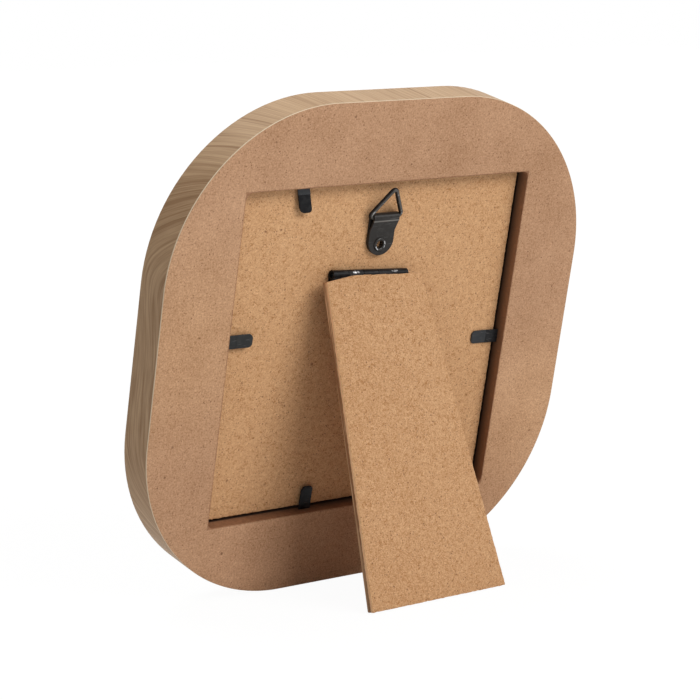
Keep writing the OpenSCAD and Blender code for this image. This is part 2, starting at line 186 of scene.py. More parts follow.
def useGroup(tree, group, inputs):
    made = tree.nodes.new("ShaderNodeGroup")
    made.node_tree = group
    for key, value in inputs.items():
        link(tree, made.inputs[key], value)
    return made.outputs


# Object coordinates in the axes of a piece: the turn and start that place it, undone
def ownAxes(tree, turn=uprightTurn, start=uprightStart):
    back = Matrix(turn.tolist()).transposed()
    own = node(tree, "TexCoord").outputs["Object"]
    return node(tree, "Mapping", {"Vector": own, "Location": back @ Vector(-start),
                                  "Rotation": back.to_euler()}).outputs[0]


def newMaterial(name, sockets):
    made = bpy.data.materials.new(name)
    made.use_nodes = True
    tree = made.node_tree
    shader = tree.nodes["Principled BSDF"]
    for key, value in sockets.items():
        link(tree, shader.inputs[key], value)
    return made, tree, shader


# Colour, roughness and a bump of so much strength and depth
def paint(tree, shader, color, roughness, height, strength, depth):
    link(tree, shader.inputs["Base Color"], color)
    link(tree, shader.inputs["Roughness"], roughness)
    raised = node(tree, "Bump", {"Height": height, "Strength": strength, "Distance": depth})
    link(tree, shader.inputs["Normal"], raised.outputs[0])


def facing(tree, direction):
    normal = node(tree, "TexCoord").outputs["Normal"]
    return vectorMath(tree, "DOT_PRODUCT", normal, tuple(direction), "Value")


# 1 where a face looks along the direction or against it, 0 where it looks sideways
def faceShare(tree, direction, low=0.35, high=0.75):
    return rise(tree, calc(tree, "ABSOLUTE", facing(tree, direction)), low, high)


# Contour lines of a noise, cut into short curled fibres by a second noise
def fibres(tree, vector, scale, level, width, cover):
    contour = calc(tree, "ABSOLUTE", less(tree, noise(tree, vector, scale, 1, 0.5, 1.2), level))
    line = fall(tree, contour, width * 0.2, width)
    return times(tree, line, rise(tree, noise(tree, vector, scale * 0.8, 1), cover, cover + 0.08))


# Fibres: scale, level of the contour, half its width, and the noise above which it shows.
# Specks: cells in a metre, spread of the radius in cells, and share of the cells that hold one.
fibreGrain = {"wide": 0.36, "mottle": 60, "broad": 17, "broadShare": 1.2,
              "darkFibres": ((620, 0.5, 0.035, 0.5), (1050, 0.47, 0.04, 0.52)), "darkShare": -0.5,
              "paleFibres": (900, 0.54, 0.035, 0.5), "paleShare": 0.35,
              "specks": ((260, 0.08, 0.03), (640, 0.18, 0.16), (1100, 0.26, 0.22)), "speckLeast": 0.12,
              "speckSoft": 0.45, "ragged": 0.2, "speckFaint": 0.25, "speckStrong": 0.55, "speckDeep": 0.4,
              "roughness": 0.74, "roughSpread": 0.12}


# Pressed and milled fibre board: fine flakes of two tones, a slow mottle, round specks of bark and
# short curled fibres, dark and pale
def makeFibreGroup():
    tree, given, out = newGroup("fibreBoard", {
        "Vector": "Vector", "Pale": "Color", "Dark": "Color", "Speck": "Color", "Flake": "Float",
        "Flakes": "Float", "Wide": "Float", "Mottle": "Float", "Specks": "Float", "Curls": "Float"},
        {"Color": "Color", "Height": "Float", "Roughness": "Float"})
    grain, vector = fibreGrain, given["Vector"]
    flake = noise(tree, vector, given["Flake"], 1.5, 0.6, 0.35)
    wide = noise(tree, vector, times(tree, given["Flake"], grain["wide"]), 2, 0.55)
    tone = sway(tree, flake, given["Flakes"], 0.5)
    tone = sway(tree, wide, times(tree, given["Flakes"], given["Wide"]), tone)
    mottle = less(tree, noise(tree, vector, grain["mottle"], 3, 0.6), 0.5)
    slow = sway(tree, noise(tree, vector, grain["broad"], 2), grain["broadShare"], mottle)
    tone = timesPlus(tree, slow, given["Mottle"], tone)
    darkFibre = larger(tree, *[fibres(tree, vector, *row) for row in grain["darkFibres"]])
    paleFibre = fibres(tree, vector, *grain["paleFibres"])
    tone = timesPlus(tree, paleFibre, times(tree, given["Curls"], grain["paleShare"]), tone)
    tone = timesPlus(tree, darkFibre, times(tree, given["Curls"], grain["darkShare"]), tone, clamp=True)
    parts = threeAxes(tree, vector)
    sheet = joined(tree, parts[0], parts[2], 0.0)
    specks = 0.0
    for cells, spread, share in grain["specks"]:
        cell = node(tree, "TexVoronoi", {"Vector": sheet, "Scale": cells}, voronoi_dimensions="2D")
        chance = node(tree, "SeparateColor", {"Color": cell.outputs["Color"]}).outputs
        chosen = calc(tree, "LESS_THAN", chance[1], times(tree, given["Specks"], share))
        size = timesPlus(tree, chance[0], spread, grain["speckLeast"])
        off = sway(tree, noise(tree, vector, cells * 5, 1), grain["ragged"], cell.outputs["Distance"])
        dot = times(tree, chosen, fall(tree, off, times(tree, size, grain["speckSoft"]), size))
        strength = timesPlus(tree, chance[2], grain["speckStrong"], grain["speckFaint"])
        specks = larger(tree, specks, times(tree, dot, strength))
    color = mix(tree, tone, given["Dark"], given["Pale"])
    link(tree, out["Color"], mix(tree, specks, color, given["Speck"]))
    link(tree, out["Height"], less(tree, tone, times(tree, specks, grain["speckDeep"])))
    link(tree, out["Roughness"], timesPlus(tree, flake, grain["roughSpread"], grain["roughness"]))
    return tree


# Scales are across, along and across the grain; shares say how much each layer darkens the tone
oakGrain = {"bend": (17, 8, 17), "arch": (-30 * mm, 50 * mm), "sway": 6 * mm, "archSway": 28 * mm,
            "streak": (420, 4.5, 420), "streakBand": (0.5, 0.74), "streakShare": 0.6,
            "fibre": (1500, 22, 1500), "fibreShare": 1.65, "fine": (2500, 70, 2500), "fineShare": 1.2,
            "cloud": (60, 14, 60), "cloudShare": 0.6, "leftShade": (60 * mm, 95 * mm), "leftShadeShare": 0.26,
            "tone": 0.36, "pore": (2100, 70, 2100), "poreBand": (0.6, 0.72), "poreShare": 0.5,
            "roughness": 0.44, "roughSpread": 0.12}


# Oak foil: fine fibres along y, with now and then a broad dark streak that a slow noise bows into
# an arch, and fine dark pores. x runs across the grain. Painted shade darkens the tone where x is
# high, on the frame's left side.
def makeOakGroup():
    tree, given, out = newGroup("oakFoil", {
        "Vector": "Vector", "Pale": "Color", "Dark": "Color", "Pore": "Color"},
        {"Color": "Color", "Height": "Float", "Roughness": "Float"})
    grain, vector = oakGrain, given["Vector"]

    def layer(name, place, detail, roughness=0.5):
        return noise(tree, stretched(tree, place, grain[name]), 1.0, detail, roughness)

    x, y, z = threeAxes(tree, vector)
    reach = timesPlus(tree, rise(tree, y, *grain["arch"]), grain["archSway"], grain["sway"])
    bowed = joined(tree, sway(tree, layer("bend", vector, 2), reach, x), y, z)
    streaks = rise(tree, layer("streak", bowed, 4, 0.62), *grain["streakBand"])
    tone = sway(tree, layer("fibre", bowed, 3, 0.62), grain["fibreShare"], grain["tone"])
    tone = sway(tree, layer("fine", bowed, 2), grain["fineShare"], tone)
    tone = sway(tree, layer("cloud", vector, 3), grain["cloudShare"], tone)
    # Painted shade: the tone darkens toward high x, on the frame's left side
    tone = timesPlus(tree, rise(tree, x, *grain["leftShade"]), grain["leftShadeShare"], tone)
    tone = timesPlus(tree, streaks, grain["streakShare"], tone, clamp=True)
    pores = rise(tree, layer("pore", bowed, 2, 0.6), *grain["poreBand"])
    pores = times(tree, pores, timesPlus(tree, streaks, 0.6, 0.4))
    wood = mix(tree, tone, given["Pale"], given["Dark"])
    link(tree, out["Color"], mix(tree, times(tree, pores, grain["poreShare"]), wood, given["Pore"]))
    link(tree, out["Height"], less(tree, less(tree, 1.0, tone), pores))
    link(tree, out["Roughness"], timesPlus(tree, tone, grain["roughSpread"], grain["roughness"]))
    return tree


steelGrain = {"patch": 420, "patchShare": 1.4, "wornBand": (0.35, 0.75), "grain": 2600,
              "scratch": (160, 2400, 2400), "scratchBand": (0.64, 0.72), "scratchShare": 0.12,
              "thin": 0.018, "thinBand": (0.42, 0.68), "roughSpread": 0.25, "polish": -0.1}


# Coated steel: a patchy dark coat with fine drawn scratches along x, and bare metal by the given
# share, which some parts use for painted highlights and glints
def makeSteelGroup():
    tree, given, out = newGroup("coatedSteel", {
        "Vector": "Vector", "Coat": "Color", "Bare": "Color", "Worn": "Float", "Smooth": "Float"},
        {"Color": "Color", "Metal": "Float", "Roughness": "Float", "Height": "Float"})
    look, vector = steelGrain, given["Vector"]
    patch = noise(tree, vector, look["patch"], 4, 0.6)
    scratch = noise(tree, stretched(tree, vector, look["scratch"]), 1.0, 2)
    edge = sway(tree, patch, look["patchShare"], given["Worn"])
    bareShare = times(tree, rise(tree, edge, *look["wornBand"]), rise(tree, given["Worn"], 0.0, 0.25))
    scratches = times(tree, rise(tree, scratch, *look["scratchBand"]), look["scratchShare"])
    bareShare = larger(tree, bareShare, scratches)
    thin = mix(tree, look["thin"], given["Coat"], given["Bare"])
    coat = mix(tree, rise(tree, patch, *look["thinBand"]), given["Coat"], thin)
    rough = sway(tree, patch, look["roughSpread"], given["Smooth"])
    link(tree, out["Color"], mix(tree, bareShare, coat, given["Bare"]))
    link(tree, out["Metal"], bareShare)
    link(tree, out["Roughness"], timesPlus(tree, bareShare, look["polish"], rough, clamp=True))
    link(tree, out["Height"], timesPlus(tree, noise(tree, vector, look["grain"], 2), 0.5, patch))
    return tree


fibreBoard = makeFibreGroup()
oakFoil = makeOakGroup()
coatedSteel = makeSteelGroup()
print("shader groups made")


def fibreFinish(tree, vector, pale, dark, speck, grain):
    return useGroup(tree, fibreBoard,
                    {"Vector": vector, "Pale": pale, "Dark": dark, "Speck": speck, **grain})


# Mesh helpers. A surface is a grid of points: rows along one parameter, columns along the other.
def gridPiece(name, grids, closeColumns=False, sharp=35.0):
    corners, faces = [], []
    start = 0
    for grid in grids:
        rows, columns = grid.shape[:2]
        index = np.arange(rows * columns).reshape(rows, columns) + start
        if closeColumns:
            index = np.vstack([index, index[:1]])
        index = np.hstack([index, index[:, :1]])
        quads = np.stack([index[:-1, :-1], index[:-1, 1:], index[1:, 1:], index[1:, :-1]], axis=-1)
        corners.append(grid.reshape(-1, 3))
        faces.append(quads.reshape(-1, 4))
        start += rows * columns
    mesh = bpy.data.meshes.new(name)
    mesh.from_pydata(np.concatenate(corners).tolist(), [], np.concatenate(faces).tolist())
    work = bmesh.new()
    work.from_mesh(mesh)
    bmesh.ops.remove_doubles(work, verts=work.verts, dist=0.5e-6)
    bmesh.ops.dissolve_degenerate(work, edges=work.edges, dist=0.2e-6)
    bmesh.ops.recalc_face_normals(work, faces=work.faces)
    work.to_mesh(mesh)
    work.free()
    mesh.shade_smooth()
    mesh.set_sharp_from_angle(angle=math.radians(sharp))
    return newObject(name, mesh)


def settle(piece, body, material, replaced):
    piece.data.materials.clear()
    piece.data.materials.append(material)
    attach(piece, body)
    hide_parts(replaced)


# A CAD node that keeps its shape and gets a finish
def dress(name, material):
    nodes[name].data.materials.clear()
    nodes[name].data.materials.append(material)


# Closed outline with round corners, evenly stepped: points and outward directions in its plane.
# Each arc turns about a centre inside its corner, and each side runs between two arcs' ends.
def roundedOutline(corners, radii, step):
    corners = np.asarray(corners, float)
    radii = np.broadcast_to(radii, len(corners))
    ahead = [unit(after - here) for here, after in zip(corners, np.roll(corners, -1, axis=0))]
    half = [math.acos(np.clip(-ahead[i - 1] @ ahead[i], -1, 1)) / 2 for i in range(len(corners))]
    cut = [radius / math.tan(angle) for radius, angle in zip(radii, half)]
    points, outs = [], []
    for i, (here, radius) in enumerate(zip(corners, radii)):
        a, b = -ahead[i - 1], ahead[i]
        centre = here + unit(a + b) * radius / math.sin(half[i])
        first, last = here + a * cut[i] - centre, here + b * cut[i] - centre
        startAngle = math.atan2(first[1], first[0])
        turn = (math.atan2(last[1], last[0]) - startAngle + math.pi) % (2 * math.pi) - math.pi
        steps = max(4, int(abs(turn) * radius / step))
        angle = startAngle + turn * np.linspace(0, 1, steps)
        arc = np.stack([np.cos(angle), np.sin(angle)], -1)
        points.append(centre + radius * arc)
        outs.append(arc)
        after = (i + 1) % len(corners)
        begin, end = here + b * cut[i], corners[after] - b * cut[after]
        steps = max(3, int(np.linalg.norm(end - begin) / step))
        share = np.linspace(0, 1, steps + 1)[1:-1, None]
        points.append(begin + (end - begin) * share)
        outs.append(np.repeat(arc[-1:], len(share), axis=0))
    return np.concatenate(points), np.concatenate(outs)


# Smooth random curve round a closed outline: random values, kept to slow waves, with unit spread
def wander(random, count, length, width):
    waves = np.fft.rfft(random.standard_normal(count))
    steps = np.arange(len(waves)) / length
    curve = np.fft.irfft(waves * np.exp(-(steps * width) ** 2), count)
    return curve / curve.std()


# Steps round an eased edge: shares of its radius still to go sideways and already gone down
easedEdge = [(1 - math.sin(turn), 1 - math.cos(turn)) for turn in np.radians([0, 30, 60, 90])]


# Section carried along a closed flat path: a circle round each point, in the outward and y directions
def tubeGrid(points, outs, radius, turns=20):
    angle = np.linspace(0, 2 * math.pi, turns, endpoint=False)[None, :, None]
    side = np.column_stack([outs[:, 0], np.zeros(len(outs)), outs[:, 1]])
    path = np.column_stack([points[:, 0], np.zeros(len(points)), points[:, 1]])
    return path[:, None] + radius * (np.cos(angle) * side[:, None] + np.sin(angle) * np.array([0, 1, 0]))


# Round piece: a profile of (radius, height) pairs carried round the y axis
def turnedGrid(profile, steps=48):
    profile = np.asarray(profile, float)
    angle = np.linspace(0, 2 * math.pi, steps, endpoint=False)
    ring = np.stack([np.cos(angle), np.zeros(steps), np.sin(angle)], -1)
    return profile[:, 0, None, None] * ring + profile[:, 1, None, None] * np.array([0, 1, 0])


# Body of the frame, milled from MDF. Recess sizes are half widths, stop is where the foil ends.
body = {"half": 95 * mm, "corner": 66.3 * mm, "foil": 0.25 * mm, "stop": 0.4 * mm, "front": 16 * mm,
        "recess": 64.75 * mm, "recessDrop": 0.7 * mm, "recessCorner": 2 * mm, "topLeftCorner": 3.2 * mm,
        "pocket": 10 * mm, "window": 60 * mm, "windowCorner": 3 * mm, "arris": 1.2 * mm, "ease": 0.18 * mm,
        "fuzz": 0.045 * mm, "fuzzWidth": 0.9 * mm, "nick": 0.13 * mm, "nickWidth": 0.8 * mm,
        "nickAbove": 2.1, "nickMost": 1.5, "around": 2200, "seed": 5}
mdfLook = {"pale": (0.636, 0.387, 0.238), "dark": (0.29, 0.145, 0.068), "speck": (0.15, 0.065, 0.03),
           "face": {"Flake": 1500, "Flakes": 1.3, "Wide": 0.35, "Mottle": 0.48, "Specks": 0.6,
                    "Curls": 0.12},
           "wallPale": (0.37, 0.185, 0.092), "wallDark": (0.14, 0.06, 0.03),
           "wall": {"Flake": 1100, "Flakes": 0.8, "Wide": 0.5, "Mottle": 0.5, "Specks": 0, "Curls": 0},
           # Painted light: two broad patches of the back, lightened by the lift
           "litPatches": (((82 * mm, 0, 105 * mm), 60 * mm), ((-86 * mm, 0, 58 * mm), 55 * mm)),
           "lift": (1.14, 1.16, 1.12),
           # Painted shade on the recess's walls: the right wall, the depth near the board and the gap beside it
           "rightWallShade": (0.27, 0.135, 0.07), "rightWallShadeBand": (-64.5 * mm, -62 * mm),
           "groove": (0.03, 0.014, 0.007), "grooveBand": (-5.6 * mm, -4.9 * mm), "deepShade": 0.7,
           "deepShadeBand": (-5 * mm, -0.4 * mm), "deepShadeAcross": (0.0, 55 * mm), "fuzzShare": 0.75,
           "fuzzBand": (-0.35 * mm, 0.15 * mm), "fuzzUneven": -0.9 * mm, "rim": (0.74, 0.61, 0.44),
           "outside": 70 * mm}


# Brown fuzz along the recess's edge: how far a point is outside the recess, made uneven by a noise
def fuzzShare(tree, own, sideways, z):
    drop = body["recessDrop"] / 2
    upward = calc(tree, "ABSOLUTE", less(tree, z, middleUp - drop))
    beyond = larger(tree, less(tree, sideways, body["recess"]), less(tree, upward, body["recess"] - drop))
    beyond = timesPlus(tree, noise(tree, own, 900, 2), mdfLook["fuzzUneven"], beyond)
    return times(tree, fall(tree, beyond, *mdfLook["fuzzBand"]), mdfLook["fuzzShare"])


# The recess's walls, with painted shade: darker on the right wall, darker with depth but for the left
# end, and nearly black in the gap beside the board
def wallColor(tree, x, y, plain):
    look = mdfLook
    # Painted shade: the right wall, then the depth, then the gap beside the board
    walls = mix(tree, rise(tree, x, *look["rightWallShadeBand"]), look["rightWallShade"], plain)
    deepShade = times(tree, fall(tree, y, *look["deepShadeBand"]), fall(tree, x, *look["deepShadeAcross"]))
    walls = mix(tree, times(tree, deepShade, look["deepShade"]), walls, look["groove"])
    return mix(tree, fall(tree, y, *look["grooveBand"]), walls, look["groove"])


# Milled MDF: pinkish tan on the back with two broad patches painted lighter as painted light, brown
# where the cutter went, and a pale rim at the foil's end
def mdfMaterial():
    made, tree, shader = newMaterial("mdf", {"Specular IOR Level": 0.25})
    look, own = mdfLook, ownAxes(tree)
    x, y, z = threeAxes(tree, own)
    sideways = calc(tree, "ABSOLUTE", x)
    face = fibreFinish(tree, own, look["pale"], look["dark"], look["speck"], look["face"])
    wall = fibreFinish(tree, own, look["wallPale"], look["wallDark"], look["speck"], look["wall"])
    # Painted light: the back is lightened in two broad patches
    litPatches = 0.0
    for middle, radius in look["litPatches"]:
        litPatches = larger(tree, litPatches, fall(tree, distance(tree, own, middle), 0.0, radius))
    back = mix(tree, litPatches, face["Color"], look["lift"], "MULTIPLY")
    back = mix(tree, fuzzShare(tree, own, sideways, z), back, wall["Color"])
    color = mix(tree, faceShare(tree, outward), wallColor(tree, x, y, wall["Color"]), back)
    upward = calc(tree, "ABSOLUTE", less(tree, z, middleUp))
    outside = calc(tree, "GREATER_THAN", larger(tree, sideways, upward), look["outside"])
    rim = times(tree, outside, less(tree, 1.0, faceShare(tree, outward, 0.8, 0.99)))
    color = mix(tree, rim, color, look["rim"])
    paint(tree, shader, color, face["Roughness"], face["Height"], strength=0.3, depth=0.1 * mm)
    return made


# Distance from the middle to a rounded square's edge, by direction: half over the larger of cosine and
# sine on the flats, and the far root of the corner circle's quadratic on the corners
def squareReach(angle, half, corner):
    c, s = np.abs(np.cos(angle)), np.abs(np.sin(angle))
    flat = half / np.maximum(c, s)
    core = half - corner
    along = core * (c + s)
    inside = along ** 2 - 2 * core ** 2 + corner ** 2
    rounded = along + np.sqrt(np.maximum(inside, 0))
    return np.where(np.minimum(c, s) * flat > core, rounded, flat)


# A closed section carried round: over the back, down the recess's wall, in to the window, out over the
# front under the foil, and back up the side. Each row is a rounded square at some depth.
def makeBody():
    b = body
    random = np.random.default_rng(b["seed"])
    angle = np.linspace(0, 2 * math.pi, b["around"], endpoint=False)
    edgeLength = 8 * b["recess"]
    fuzz = wander(random, b["around"], edgeLength, b["fuzzWidth"]) * b["fuzz"]
    nick = wander(random, b["around"], edgeLength, b["nickWidth"]) - b["nickAbove"]
    rough = fuzz + np.clip(nick, 0, b["nickMost"]) * b["nick"]
    topLeft = (np.cos(angle) > 0) & (np.sin(angle) > 0)
    recessCorner = np.where(topLeft, b["topLeftCorner"], b["recessCorner"])
    rows = []

    def row(half, corner, depth, extra=0.0, inRecess=0.0):
        reach = squareReach(angle, half, corner) + extra
        drop = b["recessDrop"] / 2 * inRecess
        rows.append(np.column_stack([reach * np.cos(angle), np.full(len(angle), -depth),
                                     reach * np.sin(angle) * (1 - drop / b["recess"]) - drop]))

    outer, ease = b["half"], b["ease"]
    for aside, down in easedEdge[::-1]:
        row(outer - ease * aside, b["corner"], ease * down)
    for share in (0.25, 0.5, 0.75, 0.92):
        row(outer + (b["recess"] - outer) * share, b["corner"] + (recessCorner - b["corner"]) * share, 0,
            inRecess=share)
    for aside, down in easedEdge:
        row(b["recess"] + ease * aside, recessCorner + ease, ease * down, rough * (1 - 0.6 * aside), 1)
    for share, roughShare in ((0.12, 0.5), (0.3, 0), (0.55, 0), (1.0, 0)):
        row(b["recess"], recessCorner, b["pocket"] * share, rough * roughShare, 1)
    window, windowCorner = b["window"] + b["foil"], b["windowCorner"] + b["foil"]
    row(window, windowCorner, b["pocket"])
    arris, front = b["arris"] - b["foil"], b["front"] - b["foil"]
    for aside, down in easedEdge[::-1]:
        row(window + arris * aside, windowCorner, front - arris * down)
    side, sideCorner = outer - b["foil"], b["corner"] - b["foil"]
    for aside, down in easedEdge:
        row(side - arris * aside, sideCorner, front - arris * down)
    row(side, sideCorner, b["stop"])
    row(outer, b["corner"], b["stop"])
    grid = toRow(np.stack(rows), start=toRow((0, 0, middleUp)))
    made = gridPiece("milled_body", [grid], closeColumns=True, sharp=40)
    settle(made, "root", mdfMaterial(), "frame_body")


makeBody()
print("body made")

hardboardLook = {"dark": (0.40, 0.19, 0.07), "speck": (0.17, 0.07, 0.03),
                 "face": {"Flake": 1650, "Wide": 0.1, "Mottle": 0.15, "Specks": 1},
                 "edgePale": (0.84, 0.55, 0.33), "edgeDark": (0.30, 0.15, 0.07), "layers": (0.12, 4.5, 0.12),
                 "edge": {"Flake": 300, "Flakes": 4, "Wide": 0.5, "Mottle": 0.5, "Specks": 0, "Curls": 0},
                 "footShade": (0.21, 0.115, 0.06), "footShadeShare": 0.8, "footShadeBand": (-150 * mm, -40 * mm),
                 "skin": (0.90, 0.575, 0.325), "skinBand": (3.9 * mm, 4.4 * mm), "skinUneven": 0.8 * mm}


# Hardboard: smooth golden face, darker sawn edge with its layers running along the edge, painted shade
# darkening it toward the strut's foot, and pale just under the strut's outer skin
def hardboardMaterial(name, turn, start, finish):
    made, tree, shader = newMaterial(name, {"Specular IOR Level": 0.3})
    look, own = hardboardLook, ownAxes(tree, turn, start)
    x, y, z = threeAxes(tree, own)
    grain = {**look["face"], "Flakes": finish["flakes"], "Curls": finish["curls"]}
    face = fibreFinish(tree, own, finish["pale"], look["dark"], look["speck"], grain)
    layers = stretched(tree, own, look["layers"])
    edge = fibreFinish(tree, layers, look["edgePale"], look["edgeDark"], look["speck"], look["edge"])
    # Painted shade: the sawn edge darkens toward the strut's foot
    low = times(tree, fall(tree, z, *look["footShadeBand"]), look["footShadeShare"])
    sawn = mix(tree, low, edge["Color"], look["footShade"])
    ragged = timesPlus(tree, noise(tree, own, 700, 2), look["skinUneven"], y)
    sawn = mix(tree, rise(tree, ragged, *look["skinBand"]), sawn, look["skin"])
    color = mix(tree, faceShare(tree, turn @ np.array([0, 1, 0])), sawn, face["Color"])
    paint(tree, shader, color, face["Roughness"], face["Height"], strength=0.4, depth=0.1 * mm)
    return made


# Both boards' edges: widths of their waves, of their nicks and of the layers' own waves
sawnEdge = {"waves": 1.6 * mm, "nicks": 0.7 * mm, "nickAbove": 2.0, "nickMost": 1.5, "layers": 3.0 * mm}


# Flat board with sawn edges. Rows go from the middle of one face out to the edge, round its small
# radius, down the edge, round again and back in over the other face.
def boardGrid(corners, board, step=0.35 * mm):
    random = np.random.default_rng(board["seed"])
    thickness, radius = board["thickness"], board["radius"]
    points, outs = roundedOutline(corners, board["corner"], step)
    length = step * len(points)
    centre = points.mean(0)
    inside = (0.0, 0.4, 0.8, 0.97)
    rows = []

    def row(places, depth):
        rows.append(np.column_stack([places[:, 0], np.full(len(places), -depth), places[:, 1]]))

    def edgeRow(inward, depth):
        row(points - outs * np.broadcast_to(inward, len(points))[:, None], depth)

    for share in inside:
        row(centre + (points - centre) * share, 0)
    shared = wander(random, len(points), length, sawnEdge["waves"]) * board["rough"]
    nicks = wander(random, len(points), length, sawnEdge["nicks"]) - sawnEdge["nickAbove"]
    nicks = np.clip(nicks, 0, sawnEdge["nickMost"]) * board["nick"]
    for aside, down in easedEdge:
        edgeRow(radius * aside + shared + nicks * (1 - aside), radius * down)
    for share in (0.25, 0.45, 0.65, 0.85):
        edgeRow(wander(random, len(points), length, sawnEdge["layers"]) * board["rough"],
                radius + (thickness - 2 * radius) * share)
    for aside, down in easedEdge[::-1]:
        edgeRow(radius * aside, thickness - radius * down)
    for share in inside[::-1]:
        row(centre + (points - centre) * share, thickness)
    return np.stack(rows)


back = {"thickness": 2.5 * mm, "half": 63.65 * mm, "depth": 5 * mm, "corner": 0.5 * mm, "radius": 0.25 * mm,
        "rough": 0.05 * mm, "nick": 0.14 * mm, "seed": 11,
        "finish": {"pale": (0.775, 0.483, 0.264), "flakes": 1.0, "curls": 1.1}}


def makeBoard():
    half = back["half"]
    grid = boardGrid([(-half, -half), (half, -half), (half, half), (-half, half)], back)
    made = gridPiece("back_panel", [toRow(grid, start=toRow((0, -back["depth"], middleUp)))])
    look = hardboardMaterial("backHardboard", uprightTurn, uprightStart, back["finish"])
    settle(made, "root", look, "backing_board")


# The strut's axes start at the hinge's pin: x along the pin, y away from the board, z up the strut
strutJoint = joints["strut_fold"]
pinPlace = np.array(strutJoint["pos_m"])
pinAxis = unit(strutJoint["axis"]) @ uprightTurn
strutPanel = {"thickness": 3 * mm, "inner": 1.75 * mm, "open": 22.5, "drop": 0.6 * mm, "corner": 0.45 * mm,
              "topLeft": 23 * mm, "topRight": 20.8 * mm, "footLeft": 12.1 * mm, "footRight": 52.4 * mm,
              "clipWide": 13.5 * mm, "clipHigh": 2.3 * mm, "radius": 0.22 * mm, "rough": 0.04 * mm,
              "nick": 0.12 * mm, "seed": 23,
              # The strut's pale is a little darker than the backing board's: painted shade for the stronger light
              # its face gets
              "finish": {"pale": (0.70, 0.43, 0.235), "flakes": 1.65, "curls": 1.8}}
hingeTurn = uprightTurn @ np.array(Matrix.Rotation(-math.atan2(pinAxis[2], pinAxis[0]), 3, "Y"))
strutTurn = hingeTurn @ np.array(Matrix.Rotation(math.radians(strutPanel["open"]), 3, "X"))


# Height along the strut, below the pin, at which its inner face meets the ground
def footHeight(across):
    inner = pinPlace + strutTurn @ np.array([across, strutPanel["inner"], 0])
    return -inner[2] / (strutTurn @ np.array([0, 0, 1]))[2]


def makeStrut():
    s = strutPanel
    corners = [(-s["topRight"], -s["drop"]), (-s["footRight"], footHeight(-s["footRight"])),
               (s["footLeft"], footHeight(s["footLeft"])), (s["topLeft"], -s["drop"] - s["clipHigh"]),
               (s["topLeft"] - s["clipWide"], -s["drop"])]
    grid = boardGrid(corners, s)
    grid[..., 1] += s["inner"] + s["thickness"]
    made = gridPiece("strut_panel", [toRow(grid, strutTurn, pinPlace)])
    look = hardboardMaterial("strutHardboard", strutTurn, pinPlace, s["finish"])
    settle(made, "strut", look, "strut")


makeBoard()
makeStrut()
print("boards made")

steelLook = {"black": (0.005, 0.005, 0.006), "grey": (0.018, 0.0195, 0.020), "bluish": (0.035, 0.038, 0.042),
             "slate": (0.025, 0.027, 0.03), "gunmetal": (0.018, 0.0155, 0.0135),
             "brown": (0.010, 0.008, 0.007), "sheenGrey": (0.15, 0.142, 0.13), "plain": (0.3, 0.3, 0.31),
             "bare": (0.55, 0.55, 0.56)}


# Coat and bare share are values, or functions of the piece's own axes that give them
def steelMaterial(name, coat, smooth, bareShare=0.0, shine=0.35, turn=uprightTurn, start=uprightStart):
    made, tree, shader = newMaterial(name, {"Specular IOR Level": shine})
    own = ownAxes(tree, turn, start)
    coat = coat(tree, own) if callable(coat) else coat
    bareShare = bareShare(tree, own) if callable(bareShare) else bareShare
    skin = useGroup(tree, coatedSteel, {"Vector": own, "Coat": coat, "Bare": steelLook["bare"],
                                        "Worn": bareShare, "Smooth": smooth})
    link(tree, shader.inputs["Metallic"], skin["Metal"])
    paint(tree, shader, skin["Color"], skin["Roughness"], skin["Height"], strength=0.25, depth=0.03 * mm)
    return made


# Bare metal along the crest that faces away from the board: partly wear, partly a painted highlight
def crestWearAndSheen(most, low):
    def bareShare(tree, own):
        patch = rise(tree, noise(tree, own, 450, 2), 0.35, 0.6)
        return times(tree, times(tree, faceShare(tree, outward, low, 1.0), patch), most)
    return bareShare


# Each tab is a root in the wall and a leaf that bends at the crease. The root slopes, both lean by a
# turn in the board's plane, and the leaf's tip stands off the board by its lift.
tab = {"wide": 5.2 * mm, "thick": 0.5 * mm, "leaf": 6.8 * mm, "drive": 8 * mm, "tip": 1.7 * mm,
       "rise": 1.6 * mm, "round": 0.12 * mm, "crown": 0.12 * mm, "gap": 0.02 * mm, "rootGap": 0.03 * mm,
       "straight": 1.0 * mm, "bendFrom": 0.6 * mm, "smooth": 0.36, "rootSmooth": 0.4, "rootShine": 0.2}
# The leaves' coats, black, grey and slate, differ from tab to tab as painted sheen on the same steel
tabShapes = {"tab_top": {"root": 3.4 * mm, "slope": 2, "turn": 13, "tipLift": 1.8 * mm, "coat": "black",
                         "shine": 0.12},
             "tab_left": {"root": 5.3 * mm, "slope": 3, "turn": 0, "tipLift": 1.7 * mm, "coat": "grey",
                          "shine": 0.22},
             "tab_bottom": {"root": 2.6 * mm, "slope": 0, "turn": 0, "tipLift": 1.6 * mm, "coat": "black",
                            "shine": 0.12},
             "tab_right": {"root": 5.4 * mm, "slope": -8, "turn": 0, "tipLift": 0.1 * mm, "coat": "slate",
                           "shine": 0.22}}


